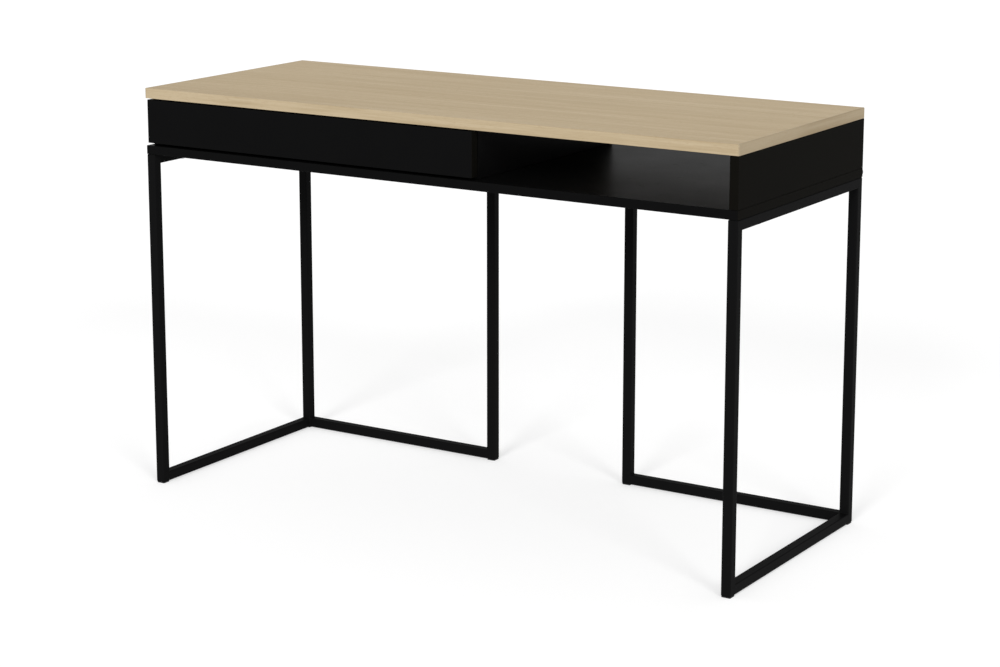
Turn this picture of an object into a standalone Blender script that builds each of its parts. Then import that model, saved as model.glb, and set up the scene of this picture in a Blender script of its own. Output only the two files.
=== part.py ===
"""Writing desk: an oak veneered top on a black carcass with one drawer and one open niche,
standing on two frames welded from square steel tube.

Metres, +Z up. The origin is on the floor, at the middle of the desk's outer box.
The user sits on the -Y side, and +X is on the user's right.
"""

import math

import bmesh
import bpy
from mathutils import Matrix, Vector

OBJECT_NAME = "writing_desk"
SIDES = {"left": -1.0, "right": 1.0}

# Overall sizes
WIDTH = 1.220
DEPTH = 0.480  # front face to back face of the boards, without the rear bumpers
HEIGHT = 0.755
CARCASS_HEIGHT = 0.104  # top of the steel frames to the underside of the desk top

# Boards
TOP_THICKNESS = 0.019
PANEL = 0.016
BACK_PANEL = 0.012
BOARD_EDGE = 0.0005
TOP_EDGE = 0.0008

# Clearances
FIT_GAP = 0.0003  # between pieces that touch
SCREW_CLEARANCE = 0.0003  # round a screw's shank

# Steel frames
TUBE = 0.018
TUBE_WALL = 0.0015
TUBE_CORNER = 0.0018
INNER_LEG_REACH = 0.467  # outer face of the frame to the far face of its inner leg
MITRE_GAP = FIT_GAP / math.sqrt(2)

# Glides under the legs and bumpers on the back
GLIDE_HEIGHT = 0.002
GLIDE_INSET = 0.0006  # how far a glide's edge stays inside the tube's face
GLIDE_CORNER = 0.002
PLUG_DEPTH = 0.009
PLUG_CLEARANCE = 0.0004
BUMPER_RADIUS = 0.010
BUMPER_HEIGHT = 0.0045
BUMPER_CROWN = 0.0012
BUMPER_INSET = 0.0008  # bumper's rim to the desk's end
BUMPER_STEPS = 28
CROWN_STEPS = 4

# Drawer front and the divider that it overlaps
DRAWER_FRONT = 0.018
FRONT_LEFT_REVEAL = 0.004
FRONT_TOP_GAP = 0.0023
FRONT_BOTTOM_GAP = 0.005
FRONT_BACK_GAP = 0.003  # behind the drawer front, to the carcass edges
DIVIDER_FACE = 0.1055  # the divider's face towards the niche, to the right of the desk's centre
FRONT_PAST_DIVIDER = 0.0005

# Drawer box
BOX_BOARD = 0.012
BOX_LIFT = 0.012  # above the carcass floor
BOX_DROP = 0.0157  # below the underside of the desk top
BOX_REAR_ROOM = 0.0497  # behind the box, to the bay's back panel
BASE_BOARD = 0.004
BASE_LIFT = 0.008
GROOVE_DEPTH = 0.005
GROOVE_CLEARANCE = 0.0003

# Telescopic runners
RUNNER_REAR_ROOM = 0.045  # behind the runners, to the bay's back panel
RUNNER_WIDTH = 0.0127
RUNNER_HEIGHT = 0.035
RUNNER_SHEET = 0.0012
RUNNER_BEND = 0.0022
RUNNER_SETBACK = 0.002  # behind the front edge of the carcass sides
BALL = 0.0032
MEMBER_GAP = 0.0025  # cabinet member's web to the intermediate member's web
LIP_GAP = 0.0008  # a flange's free edge to the face that it points at
BEND_STEPS = 3

# Screws: shank radius, length under the head, head radius, head height
FRAME_SCREW = (0.0024, TUBE + 0.011, 0.0046, 0.0028)
RUNNER_SCREW = (0.0016, 0.012, 0.0030, 0.0014)
FRONT_SCREW = (0.0018, BOX_BOARD + 0.012, 0.0038, 0.0024)
DIVIDER_SCREW = (0.0024, 0.038, 0.0044, 0.0026)
SCREW_STEPS = 12
TIP_LENGTH = 0.003
HOLE_STEPS = 16
RUNNER_SCREW_ENDS = 0.060  # from each end of the runner
FRAME_SCREW_ENDS = 0.090  # from each end of the side rail
FRONT_SCREW_ENDS = 0.120  # from each end of the drawer's inner front
DIVIDER_SCREW_ENDS = 0.080

# Places that follow from the sizes
OUTER_DEPTH = DEPTH + FIT_GAP + BUMPER_HEIGHT
FRONT = -OUTER_DEPTH / 2
BACK = FRONT + DEPTH
TOP_UNDERSIDE = HEIGHT - TOP_THICKNESS
FRAME_TOP = TOP_UNDERSIDE - CARCASS_HEIGHT
FLOOR_LOW = FRAME_TOP + FIT_GAP
FLOOR_HIGH = FLOOR_LOW + PANEL
SIDE_LOW = FLOOR_HIGH + FIT_GAP
SIDE_HIGH = TOP_UNDERSIDE - FIT_GAP
FRONT_BACK_FACE = FRONT + DRAWER_FRONT
BEHIND_FRONT = FRONT_BACK_FACE + FRONT_BACK_GAP
BAY_LEFT = -WIDTH / 2 + PANEL
BAY_RIGHT = DIVIDER_FACE - PANEL
BOX_LEFT = BAY_LEFT + RUNNER_WIDTH + FIT_GAP
BOX_RIGHT = BAY_RIGHT - RUNNER_WIDTH - FIT_GAP
BOX_FRONT = FRONT_BACK_FACE + FIT_GAP
BOX_BACK = BACK - BACK_PANEL - BOX_REAR_ROOM
BOX_LOW = FLOOR_HIGH + BOX_LIFT
BOX_HIGH = TOP_UNDERSIDE - BOX_DROP
RUNNER_FRONT = BEHIND_FRONT + RUNNER_SETBACK
RUNNER_LENGTH = BACK - BACK_PANEL - RUNNER_REAR_ROOM - RUNNER_FRONT
RUNNER_Z = (BOX_LOW + BOX_HIGH) / 2

FINISHES = {  # base colour, roughness, metallic
    "oak": ((0.49, 0.38, 0.25, 1.0), 0.5, 0.0),
    "black_board": ((0.008, 0.008, 0.008, 1.0), 0.4, 0.0),
    "black_steel": ((0.006, 0.006, 0.006, 1.0), 0.45, 0.0),
    "drawer_board": ((0.012, 0.012, 0.012, 1.0), 0.5, 0.0),
    "zinc": ((0.60, 0.61, 0.62, 1.0), 0.35, 1.0),
    "black_plastic": ((0.010, 0.010, 0.010, 1.0), 0.55, 0.0),
    "black_rubber": ((0.014, 0.014, 0.014, 1.0), 0.8, 0.0),
}

X_AXIS = Vector((1.0, 0.0, 0.0))
Y_AXIS = Vector((0.0, 1.0, 0.0))
Z_AXIS = Vector((0.0, 0.0, 1.0))

for old in list(bpy.data.objects):
    bpy.data.objects.remove(old, do_unlink=True)
parts = bpy.data.collections.new(OBJECT_NAME)
cutters = bpy.data.collections.new("cutters")
for collection in (parts, cutters):
    bpy.context.scene.collection.children.link(collection)


def paint(obj, finish):
    """Give the object its own material in one of the desk's finishes."""
    colour, roughness, metallic = FINISHES[finish]
    material = bpy.data.materials.new(f"{obj.name}_{finish}")
    material.use_nodes = True
    shader = material.node_tree.nodes["Principled BSDF"]
    shader.inputs["Base Color"].default_value = colour
    shader.inputs["Roughness"].default_value = roughness
    shader.inputs["Metallic"].default_value = metallic
    material.diffuse_color = colour
    obj.material_slots[0].link = "OBJECT"
    obj.material_slots[0].material = material


def add_part(name, mesh, finish, matrix, parent=None):
    """Link a named piece of the desk at its place, under the empty that carries it."""
    if not mesh.materials:
        mesh.materials.append(None)
    obj = bpy.data.objects.new(name, mesh)
    parts.objects.link(obj)
    if parent:
        obj.parent = parent
        obj.matrix_parent_inverse = Matrix.Translation(parent.location).inverted()
    obj.matrix_basis = matrix
    paint(obj, finish)
    return obj


def add_cutter(name, mesh, matrix):
    obj = bpy.data.objects.new(name, mesh)
    cutters.objects.link(obj)
    obj.matrix_basis = matrix
    obj.hide_render = True
    obj.display_type = "WIRE"
    return obj


def carrier(name, location):
    """An empty that holds one sliding body."""
    empty = bpy.data.objects.new(name, None)
    empty.empty_display_size = 0.05
    empty.location = location
    parts.objects.link(empty)
    return empty


def box_mesh(name, low, high):
    """A box between two corners, in the mesh's own space."""
    low = Vector(low)
    high = Vector(high)
    shape = bmesh.new()
    bmesh.ops.create_cube(shape, size=1.0)
    bmesh.ops.scale(shape, vec=high - low, verts=shape.verts)
    bmesh.ops.translate(shape, vec=(low + high) / 2, verts=shape.verts)
    return finished(shape, name)


def cylinder_mesh(name, radius, low, high, steps):
    """A cylinder along Z from low to high."""
    shape = bmesh.new()
    bmesh.ops.create_cone(
        shape,
        cap_ends=True,
        segments=steps,
        radius1=radius,
        radius2=radius,
        depth=high - low,
    )
    bmesh.ops.translate(shape, vec=(0, 0, (low + high) / 2), verts=shape.verts)
    return finished(shape, name)


def finished(shape, name):
    mesh = bpy.data.meshes.new(name)
    shape.to_mesh(mesh)
    shape.free()
    return mesh


def ease_edges(obj, width, segments=2, by_weight=False):
    bevel = obj.modifiers.new("eased_edges", "BEVEL")
    bevel.width = width
    bevel.segments = segments
    bevel.limit_method = "WEIGHT" if by_weight else "ANGLE"


def cut(obj, cutter):
    boolean = obj.modifiers.new(cutter.name, "BOOLEAN")
    boolean.operation = "DIFFERENCE"
    boolean.solver = "EXACT"
    boolean.object = cutter


def board(name, low, high, finish, edge=BOARD_EDGE, parent=None):
    """A flat board between two corners, with its origin at its middle."""
    low = Vector(low)
    high = Vector(high)
    half = (high - low) / 2
    mesh = box_mesh(name, -half, half)
    obj = add_part(name, mesh, finish, Matrix.Translation((low + high) / 2), parent)
    ease_edges(obj, edge)
    return obj


def turned_mesh(name, profile, steps):
    """A closed round body: the profile runs down its outer side from the axis to the axis."""
    shape = bmesh.new()
    ring = [shape.verts.new((radius, 0.0, height)) for radius, height in profile]
    for upper, lower in zip(ring, ring[1:]):
        shape.edges.new((upper, lower))
    holder = bpy.data.objects.new(name + "_profile", finished(shape, name + "_profile"))
    cutters.objects.link(holder)
    turn = holder.modifiers.new("turn", "SCREW")
    turn.axis = "Z"
    turn.steps = steps
    turn.render_steps = steps
    turn.use_merge_vertices = True
    turn.merge_threshold = 0.00001
    return baked(holder, name)


def baked(holder, name):
    """The evaluated mesh of a helper object, which is then removed."""
    graph = bpy.context.evaluated_depsgraph_get()
    mesh = bpy.data.meshes.new_from_object(holder.evaluated_get(graph))
    mesh.name = name
    bpy.data.objects.remove(holder, do_unlink=True)
    mesh.shade_smooth()
    mesh.set_sharp_from_angle(angle=math.radians(35))
    return mesh


def aimed(point, direction):
    """A matrix that puts local +Z along a direction, at a point."""
    turn = Vector(direction).to_track_quat("Z", "Y")
    return Matrix.Translation(point) @ turn.to_matrix().to_4x4()


# ---------------------------------------------------------------- square tube


def square_tube(name, start, end, turn, mitred_start=False, mitred_end=False):
    """A hollow square tube along its centre line.

    A mitred end is cut at 45 degrees, for the next tube, which leaves in the direction of turn.
    The end points are the tube's outermost reach, on its centre line.
    """
    start = Vector(start)
    end = Vector(end)
    turn = Vector(turn)
    along = (end - start).normalized()
    length = (end - start).length
    half = TUBE / 2
    shape = bmesh.new()
    bmesh.ops.create_cube(shape, size=1.0)
    bmesh.ops.scale(shape, vec=(TUBE, TUBE, length), verts=shape.verts)
    bmesh.ops.translate(shape, vec=(0, 0, length / 2), verts=shape.verts)
    weight = shape.edges.layers.float.new("bevel_weight_edge")
    for edge in shape.edges:
        lower, upper = edge.verts
        edge[weight] = 1.0 if abs(upper.co.z - lower.co.z) > half else 0.0
    for vert in shape.verts:
        back = vert.co.x + half + MITRE_GAP
        if vert.co.z > length / 2 and mitred_end:
            vert.co.z -= back
        elif vert.co.z < length / 2 and mitred_start:
            vert.co.z += back
    basis = Matrix((turn, along.cross(turn), along)).transposed().to_4x4()
    matrix = Matrix.Translation(start) @ basis
    tube = add_part(name, finished(shape, name), "black_steel", matrix)
    ease_edges(tube, TUBE_CORNER, by_weight=True)
    bore = half - TUBE_WALL
    hollow = box_mesh(name + "_bore", (-bore, -bore, -TUBE), (bore, bore, length + TUBE))
    cut(tube, add_cutter(name + "_bore", hollow, matrix))
    return tube


def steel_frame(side_name):
    """One end frame: a side loop and a rear loop that share the rear corner leg."""
    side = SIDES[side_name]
    end_x = side * (WIDTH / 2 - TUBE / 2)
    inner_face = side * (WIDTH / 2 - INNER_LEG_REACH)
    inner_x = inner_face + side * TUBE / 2
    front_y = FRONT + TUBE / 2
    rear_y = BACK - TUBE / 2
    low = GLIDE_HEIGHT
    rail_stop = BACK - TUBE - FIT_GAP
    rear_stop = side * (WIDTH / 2 - TUBE - FIT_GAP)
    outwards = X_AXIS * side
    tubes = {}
    legs = {
        "front_leg": (end_x, front_y, Y_AXIS, True),
        "rear_leg": (end_x, rear_y, Y_AXIS, False),
        "inner_leg": (inner_x, rear_y, outwards, True),
    }
    for name, (x, y, turn, mitred) in legs.items():
        tubes[name] = square_tube(
            f"{side_name}_{name}", (x, y, low), (x, y, FRAME_TOP), turn, mitred, mitred
        )
    levels = {"floor": (low + TUBE / 2, Z_AXIS), "top": (FRAME_TOP - TUBE / 2, -Z_AXIS)}
    for level, (z, turn) in levels.items():
        tubes[f"side_{level}_rail"] = square_tube(
            f"{side_name}_side_{level}_rail",
            (end_x, FRONT, z),
            (end_x, rail_stop, z),
            turn,
            mitred_start=True,
        )
        tubes[f"rear_{level}_rail"] = square_tube(
            f"{side_name}_rear_{level}_rail",
            (inner_face, rear_y, z),
            (rear_stop, rear_y, z),
            turn,
            mitred_start=True,
        )
    glide(f"{side_name}_front_glide", end_x, front_y)
    glide(f"{side_name}_rear_glide", end_x, rear_y, plug=True)
    glide(f"{side_name}_inner_glide", inner_x, rear_y)
    return tubes


def glide(name, x, y, plug=False):
    """A square foot under a leg; the one under an open tube end has a plug that goes into it."""
    half = TUBE / 2 - GLIDE_INSET
    shape = bmesh.new()
    bmesh.ops.create_cube(shape, size=1.0)
    high = GLIDE_HEIGHT - FIT_GAP
    bmesh.ops.scale(shape, vec=(2 * half, 2 * half, high), verts=shape.verts)
    bmesh.ops.translate(shape, vec=(0, 0, high / 2), verts=shape.verts)
    upright = [e for e in shape.edges if abs(e.verts[0].co.z - e.verts[1].co.z) > high / 2]
    bmesh.ops.bevel(
        shape, geom=upright, offset=GLIDE_CORNER, segments=3, profile=0.5, affect="EDGES"
    )
    if plug:
        shape.faces.ensure_lookup_table()
        upper = [f for f in shape.faces if f.normal.z > 0.9]
        shrink = half - (TUBE / 2 - TUBE_WALL - PLUG_CLEARANCE)
        bmesh.ops.inset_region(shape, faces=upper, thickness=shrink, use_even_offset=True)
        raised = bmesh.ops.extrude_face_region(shape, geom=upper)
        bmesh.ops.delete(shape, geom=upper, context="FACES_ONLY")
        verts = [v for v in raised["geom"] if isinstance(v, bmesh.types.BMVert)]
        bmesh.ops.translate(shape, vec=(0, 0, PLUG_DEPTH), verts=verts)
    add_part(name, finished(shape, name), "black_plastic", Matrix.Translation((x, y, 0)))


# --------------------------------------------------------------------- screws


def screw_mesh(name, size):
    """A pan head screw with a hexagon socket, pointing along -Z, its head standing on z = 0."""
    shank, length, head, head_height = size
    rim = head_height * 0.35
    profile = [
        (0.0, head_height),
        (head * 0.62, head_height),
        (head * 0.93, head_height - rim),
        (head, head_height - 2 * rim),
        (head, 0.0),
        (shank, 0.0),
        (shank, -length + TIP_LENGTH),
        (0.0, -length),
    ]
    holder = bpy.data.objects.new(name, turned_mesh(name, profile, SCREW_STEPS))
    cutters.objects.link(holder)
    socket = cylinder_mesh(name, head * 0.45, head_height * 0.45, head_height * 2, 6)
    socket_cutter = add_cutter(name + "_socket", socket, Matrix())
    cut(holder, socket_cutter)
    mesh = baked(holder, name)
    bpy.data.objects.remove(socket_cutter, do_unlink=True)
    return mesh


def screw(name, mesh, size, seat, direction, pieces, recess=False, parent=None):
    """A screw whose head seats at a point, and the clearance hole through what it passes."""
    shank, length, head, head_height = size
    inwards = Vector(direction)
    stand_off = -(head_height + FIT_GAP) if recess else FIT_GAP
    matrix = aimed(Vector(seat) - inwards * stand_off, -inwards)
    add_part(name, mesh, "zinc", matrix, parent)
    hole = cylinder_mesh(
        name + "_hole", shank + SCREW_CLEARANCE, -length - SCREW_CLEARANCE, 0.001, HOLE_STEPS
    )
    hole_cutter = add_cutter(name + "_hole", hole, matrix)
    for piece in pieces:
        cut(piece, hole_cutter)
    if recess:
        pocket = cylinder_mesh(
            name + "_pocket", head + SCREW_CLEARANCE, -FIT_GAP, head_height * 2, HOLE_STEPS
        )
        cut(pieces[0], add_cutter(name + "_pocket", pocket, matrix))


# -------------------------------------------------------------------- carcass


def carcass():
    half = WIDTH / 2
    made = {
        "desk_top": board(
            "desk_top",
            (-half, FRONT, TOP_UNDERSIDE),
            (half, BACK, HEIGHT),
            "oak",
            edge=TOP_EDGE,
        ),
        "bottom_panel": board(
            "bottom_panel",
            (-half, FRONT, FLOOR_LOW),
            (half, BACK, FLOOR_HIGH),
            "black_board",
        ),
        "left_side_panel": board(
            "left_side_panel",
            (-half, BEHIND_FRONT, SIDE_LOW),
            (BAY_LEFT, BACK, SIDE_HIGH),
            "black_board",
        ),
        "right_side_panel": board(
            "right_side_panel",
            (half - PANEL, FRONT, SIDE_LOW),
            (half, BACK, SIDE_HIGH),
            "black_board",
        ),
        "divider_panel": board(
            "divider_panel",
            (BAY_RIGHT, BEHIND_FRONT, SIDE_LOW),
            (DIVIDER_FACE, BACK, SIDE_HIGH),
            "black_board",
        ),
    }
    board(
        "drawer_bay_back_panel",
        (BAY_LEFT + FIT_GAP, BACK - BACK_PANEL, SIDE_LOW),
        (BAY_RIGHT - FIT_GAP, BACK, SIDE_HIGH),
        "black_board",
    )
    return made


def rear_bumper(side_name, mesh):
    """A round pad on the edge of the bottom panel that keeps the desk off the wall."""
    x = SIDES[side_name] * (WIDTH / 2 - BUMPER_RADIUS - BUMPER_INSET)
    seat = Vector((x, BACK + FIT_GAP, (FLOOR_LOW + FLOOR_HIGH) / 2))
    add_part(f"{side_name}_rear_bumper", mesh, "black_rubber", aimed(seat, Y_AXIS))


def bumper_mesh():
    crown = BUMPER_HEIGHT - BUMPER_CROWN
    profile = [(0.0, BUMPER_HEIGHT)]
    for step in range(CROWN_STEPS + 1):
        angle = math.radians(90 * step / CROWN_STEPS)
        profile.append(
            (
                BUMPER_RADIUS - 2 * BUMPER_CROWN * (1 - math.sin(angle)),
                crown + BUMPER_CROWN * math.cos(angle),
            )
        )
    profile += [(BUMPER_RADIUS, 0.0), (0.0, 0.0)]
    return turned_mesh("rear_bumper", profile, BUMPER_STEPS)


# -------------------------------------------------------------------- runners


def rounded(points, radius):
    """An open outline with its inner corners turned into arcs."""
    outline = [Vector(points[0])]
    for before, corner, after in zip(points, points[1:], points[2:]):
        corner = Vector(corner)
        leave = (Vector(before) - corner).normalized() * radius
        arrive = (Vector(after) - corner).normalized() * radius
        centre = corner + leave + arrive
        for step in range(BEND_STEPS + 1):
            angle = math.radians(90 * step / BEND_STEPS)
            outline.append(centre - arrive * math.cos(angle) - leave * math.sin(angle))
    outline.append(Vector(points[-1]))
    return outline


def runner_member(name, wall_x, towards, web, lip, height, parent=None):
    """A rolled steel channel: its web and the free edges of its flanges, measured off the wall."""
    half = height / 2 - RUNNER_SHEET / 2
    step = RUNNER_SHEET / 2 if lip > web else -RUNNER_SHEET / 2
    centre = web + step
    section = rounded(
        [(lip, half), (centre, half), (centre, -half), (lip, -half)], RUNNER_BEND
    )
    shape = bmesh.new()
    verts = [shape.verts.new((towards * u, 0.0, z)) for u, z in section]
    edges = [shape.edges.new(pair) for pair in zip(verts, verts[1:])]
    swept = bmesh.ops.extrude_edge_only(shape, edges=edges)["geom"]
    far = [v for v in swept if isinstance(v, bmesh.types.BMVert)]
    bmesh.ops.translate(shape, vec=(0, RUNNER_LENGTH, 0), verts=far)
    bmesh.ops.recalc_face_normals(shape, faces=shape.faces)
    matrix = Matrix.Translation((wall_x, RUNNER_FRONT, RUNNER_Z))
    member = add_part(name, finished(shape, name), "zinc", matrix, parent)
    sheet = member.modifiers.new("sheet", "SOLIDIFY")
    sheet.thickness = RUNNER_SHEET
    sheet.offset = 0.0
    sheet.use_even_offset = True
    return member


def runner(side_name, wall_x, towards, wall_piece, box_side, drawer, slides):
    """A telescopic runner: cabinet, intermediate and drawer members, one inside the other."""
    step = 2 * (RUNNER_SHEET + BALL)
    inner_web = FIT_GAP + RUNNER_SHEET + MEMBER_GAP
    cabinet = runner_member(
        f"{side_name}_cabinet_runner",
        wall_x,
        towards,
        FIT_GAP,
        RUNNER_WIDTH - 2 * LIP_GAP,
        RUNNER_HEIGHT,
    )
    runner_member(
        f"{side_name}_intermediate_runner",
        wall_x,
        towards,
        inner_web,
        RUNNER_WIDTH - RUNNER_SHEET - LIP_GAP,
        RUNNER_HEIGHT - step,
        parent=slides,
    )
    member = runner_member(
        f"{side_name}_drawer_runner",
        wall_x,
        towards,
        RUNNER_WIDTH,
        inner_web + RUNNER_SHEET + LIP_GAP,
        RUNNER_HEIGHT - 2 * step,
        parent=drawer,
    )
    ends = {
        "front": RUNNER_FRONT + RUNNER_SCREW_ENDS,
        "rear": RUNNER_FRONT + RUNNER_LENGTH - RUNNER_SCREW_ENDS,
    }
    face = wall_x + towards * (FIT_GAP + RUNNER_SHEET)
    inside = wall_x + towards * (RUNNER_WIDTH - RUNNER_SHEET)
    for end, y in ends.items():
        screw(
            f"{side_name}_cabinet_runner_{end}_screw",
            runner_screw,
            RUNNER_SCREW,
            (face, y, RUNNER_Z),
            X_AXIS * -towards,
            [cabinet, wall_piece],
        )
        screw(
            f"{side_name}_drawer_runner_{end}_screw",
            runner_screw,
            RUNNER_SCREW,
            (inside, y, RUNNER_Z),
            X_AXIS * towards,
            [member, box_side],
            parent=drawer,
        )


# --------------------------------------------------------------------- drawer


def drawer_box(drawer):
    """The drawer: a front board on a box of four boards with a thin base in their grooves."""
    front = board(
        "drawer_front",
        (-WIDTH / 2 + FRONT_LEFT_REVEAL, FRONT, FLOOR_HIGH + FRONT_BOTTOM_GAP),
        (DIVIDER_FACE + FRONT_PAST_DIVIDER, FRONT_BACK_FACE, TOP_UNDERSIDE - FRONT_TOP_GAP),
        "black_board",
        parent=drawer,
    )
    left = board(
        "drawer_left_side",
        (BOX_LEFT, BOX_FRONT, BOX_LOW),
        (BOX_LEFT + BOX_BOARD, BOX_BACK, BOX_HIGH),
        "drawer_board",
        parent=drawer,
    )
    right = board(
        "drawer_right_side",
        (BOX_RIGHT - BOX_BOARD, BOX_FRONT, BOX_LOW),
        (BOX_RIGHT, BOX_BACK, BOX_HIGH),
        "drawer_board",
        parent=drawer,
    )
    inner_left = BOX_LEFT + BOX_BOARD + FIT_GAP
    inner_right = BOX_RIGHT - BOX_BOARD - FIT_GAP
    inner_front = board(
        "drawer_inner_front",
        (inner_left, BOX_FRONT, BOX_LOW),
        (inner_right, BOX_FRONT + BOX_BOARD, BOX_HIGH),
        "drawer_board",
        parent=drawer,
    )
    back = board(
        "drawer_back",
        (inner_left, BOX_BACK - BOX_BOARD, BOX_LOW),
        (inner_right, BOX_BACK, BOX_HIGH),
        "drawer_board",
        parent=drawer,
    )
    reach = BOX_BOARD - GROOVE_DEPTH
    base_low = Vector((BOX_LEFT + reach, BOX_FRONT + reach, BOX_LOW + BASE_LIFT))
    base_high = Vector((BOX_RIGHT - reach, BOX_BACK - reach, base_low.z + BASE_BOARD))
    spare = Vector((GROOVE_CLEARANCE,) * 3)
    groove = add_cutter(
        "base_groove", box_mesh("base_groove", base_low - spare, base_high + spare), Matrix()
    )
    for piece in (left, right, inner_front, back):
        cut(piece, groove)
    middle = (base_low + base_high) / 2
    half = (base_high - base_low) / 2
    add_part(
        "drawer_base",
        box_mesh("drawer_base", -half, half),
        "drawer_board",
        Matrix.Translation(middle),
        drawer,
    )
    screw_z = (base_high.z + BOX_HIGH) / 2
    places = {
        "left": inner_left + FRONT_SCREW_ENDS,
        "right": inner_right - FRONT_SCREW_ENDS,
    }
    for end, x in places.items():
        screw(
            f"drawer_front_{end}_screw",
            front_screw,
            FRONT_SCREW,
            (x, BOX_FRONT + BOX_BOARD, screw_z),
            -Y_AXIS,
            [inner_front, front],
            parent=drawer,
        )
    return left, right


frame_screw = screw_mesh("frame_screw", FRAME_SCREW)
runner_screw = screw_mesh("runner_screw", RUNNER_SCREW)
front_screw = screw_mesh("front_screw", FRONT_SCREW)
divider_screw = screw_mesh("divider_screw", DIVIDER_SCREW)

panels = carcass()
bumper = bumper_mesh()
for side_name, side in SIDES.items():
    tubes = steel_frame(side_name)
    rear_bumper(side_name, bumper)
    rail_x = side * (WIDTH / 2 - TUBE / 2)
    rear_x = side * (WIDTH / 2 - INNER_LEG_REACH / 2)
    seats = {
        "front": ("side_top_rail", rail_x, FRONT + FRAME_SCREW_ENDS),
        "rear": ("side_top_rail", rail_x, BACK - FRAME_SCREW_ENDS),
        "inner": ("rear_top_rail", rear_x, BACK - TUBE / 2),
    }
    for end, (rail, x, y) in seats.items():
        screw(
            f"{side_name}_frame_{end}_screw",
            frame_screw,
            FRAME_SCREW,
            (x, y, FRAME_TOP - TUBE),
            Z_AXIS,
            [tubes[rail], panels["bottom_panel"]],
        )

divider_x = DIVIDER_FACE - PANEL / 2
divider_ends = {
    "front": BEHIND_FRONT + DIVIDER_SCREW_ENDS,
    "rear": BACK - DIVIDER_SCREW_ENDS,
}
for end, y in divider_ends.items():
    screw(
        f"divider_{end}_screw",
        divider_screw,
        DIVIDER_SCREW,
        (divider_x, y, FLOOR_LOW),
        Z_AXIS,
        [panels["bottom_panel"], panels["divider_panel"]],
        recess=True,
    )

drawer_slide = carrier("drawer_slide", ((BOX_LEFT + BOX_RIGHT) / 2, FRONT, RUNNER_Z))
left_box_side, right_box_side = drawer_box(drawer_slide)
left_slide = carrier("left_runner_slide", (BAY_LEFT, RUNNER_FRONT, RUNNER_Z))
right_slide = carrier("right_runner_slide", (BAY_RIGHT, RUNNER_FRONT, RUNNER_Z))
runner(
    "left", BAY_LEFT, 1.0, panels["left_side_panel"], left_box_side, drawer_slide, left_slide
)
runner(
    "right", BAY_RIGHT, -1.0, panels["divider_panel"], right_box_side, drawer_slide, right_slide
)
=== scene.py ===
"""The looks of an oak and black steel writing desk with a drawer and an open niche.

The file is laid out as an add-on and is run as a script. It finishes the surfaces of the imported
model, builds the pieces that need a finer shape than the model's plain solids, and sets the studio.
All lengths are in metres.
"""

import math

import bmesh
import bpy
from bpy.props import FloatProperty, FloatVectorProperty, PointerProperty
from mathutils import Euler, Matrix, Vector


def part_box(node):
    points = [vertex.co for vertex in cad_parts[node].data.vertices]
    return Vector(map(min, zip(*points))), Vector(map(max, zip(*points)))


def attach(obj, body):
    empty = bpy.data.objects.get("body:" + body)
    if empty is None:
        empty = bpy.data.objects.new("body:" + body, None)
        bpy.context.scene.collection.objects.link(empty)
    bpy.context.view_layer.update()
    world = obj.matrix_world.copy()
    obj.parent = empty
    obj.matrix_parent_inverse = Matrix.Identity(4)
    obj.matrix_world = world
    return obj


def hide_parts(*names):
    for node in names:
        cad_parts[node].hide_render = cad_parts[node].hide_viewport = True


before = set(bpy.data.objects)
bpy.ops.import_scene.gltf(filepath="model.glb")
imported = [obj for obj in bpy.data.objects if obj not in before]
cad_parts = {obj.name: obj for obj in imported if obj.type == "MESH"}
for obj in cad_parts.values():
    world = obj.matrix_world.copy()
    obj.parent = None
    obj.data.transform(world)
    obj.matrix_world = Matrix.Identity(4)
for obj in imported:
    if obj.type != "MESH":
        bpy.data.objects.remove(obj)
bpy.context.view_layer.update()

bl_info = {
    "name": "Oak and steel writing desk",
    "version": (1, 0, 0),
    "blender": (4, 5, 0),
    "location": "3D View > Sidebar > Desk",
    "description": "Finishes and fine pieces of a writing desk with a drawer and an open niche",
    "category": "Object",
}

SIDES = ("left", "right")
AXES = {"X": 0, "Y": 1, "Z": 2}
X, Y, Z = Vector((1, 0, 0)), Vector((0, 1, 0)), Vector((0, 0, 1))
ENDS = ("front", "rear")


# ------------------------------------------------------------------ properties


def colour_property(name, description, default):
    return FloatVectorProperty(
        name=name, description=description, default=default, size=3, min=0, max=1, subtype="COLOR"
    )


def length_property(name, description, default):
    return FloatProperty(
        name=name, description=description, default=default, min=0, unit="LENGTH", precision=5
    )


def share_property(name, description, default):
    return FloatProperty(
        name=name, description=description, default=default, min=0, max=1, subtype="FACTOR"
    )


def strength_property(name, description, default):
    return FloatProperty(name=name, description=description, default=default, min=0)


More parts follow.
